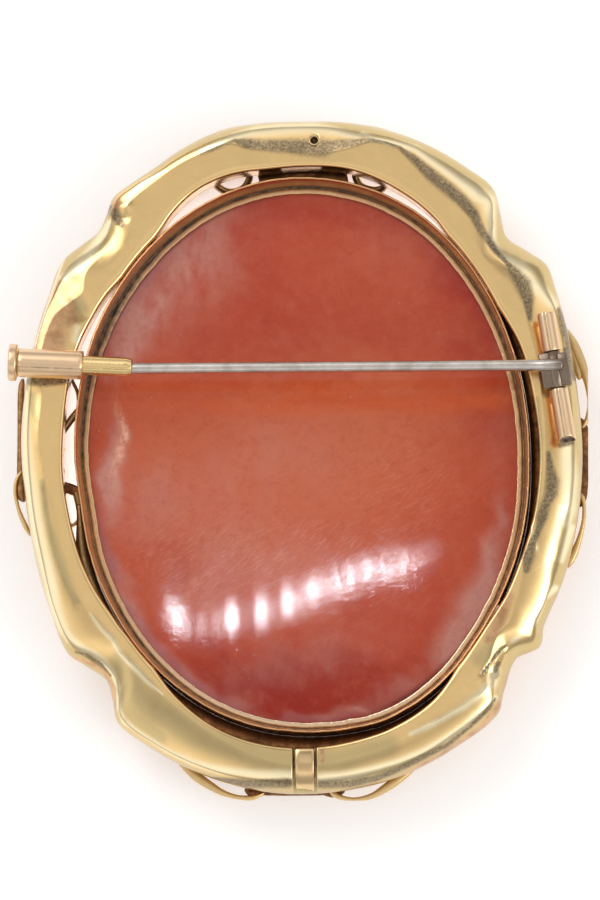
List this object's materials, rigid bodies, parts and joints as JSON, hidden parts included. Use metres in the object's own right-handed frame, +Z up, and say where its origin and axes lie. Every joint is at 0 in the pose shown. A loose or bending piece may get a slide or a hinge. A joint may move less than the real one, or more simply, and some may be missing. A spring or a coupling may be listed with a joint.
{
  "type": "cameo brooch",
  "caption": "Oval shell cameo brooch lying face down: hollow twisted gold border, pierced scroll ornaments, deep bezel, hinged steel pin and sliding tube catch.",
  "frame": {"origin": "on the surface that the brooch lies on, under the middle of the shell", "axes": "+X to the right and +Y to the top of the back as it is looked at, +Z up out of the brooch's back"},
  "size_m": [0.0498, 0.0593, 0.0122],
  "materials": {
    "gold": "polished pale yellow gold, lightly scratched and mottled",
    "copper_gold": "coppery gold with dark grime in its groove",
    "shell": "glossy polished shell, reddish orange with a mauve haze",
    "rose_gold": "polished rose gold",
    "steel": "grey satin steel",
    "bright_gold": "polished yellow gold"
  },
  "bodies": {
    "root": {"frame": "gold", "bezel": "copper_gold", "cameo": "shell", "seam_strap": "rose_gold", "hinge_tube_upper": "rose_gold", "hinge_tube_lower": "rose_gold", "hinge_rivet": "steel", "catch_tube": "rose_gold"},
    "pin": {"pin": "steel"},
    "slider": {"catch_slider": "bright_gold"}
  },
  "joints": [
    {"name": "pin_hinge", "type": "hinge", "parent": "root", "child": "pin", "pos_m": [0.0219, 0.0068, 0.0102], "axis": [-0.1633, 0.9866, 0], "range_deg": [0, 100]},
    {"name": "catch_slide", "type": "slide", "parent": "root", "child": "slider", "axis": [-0.9988, 0.0488, 0], "range_m": [0, 0.0042]}
  ]
}
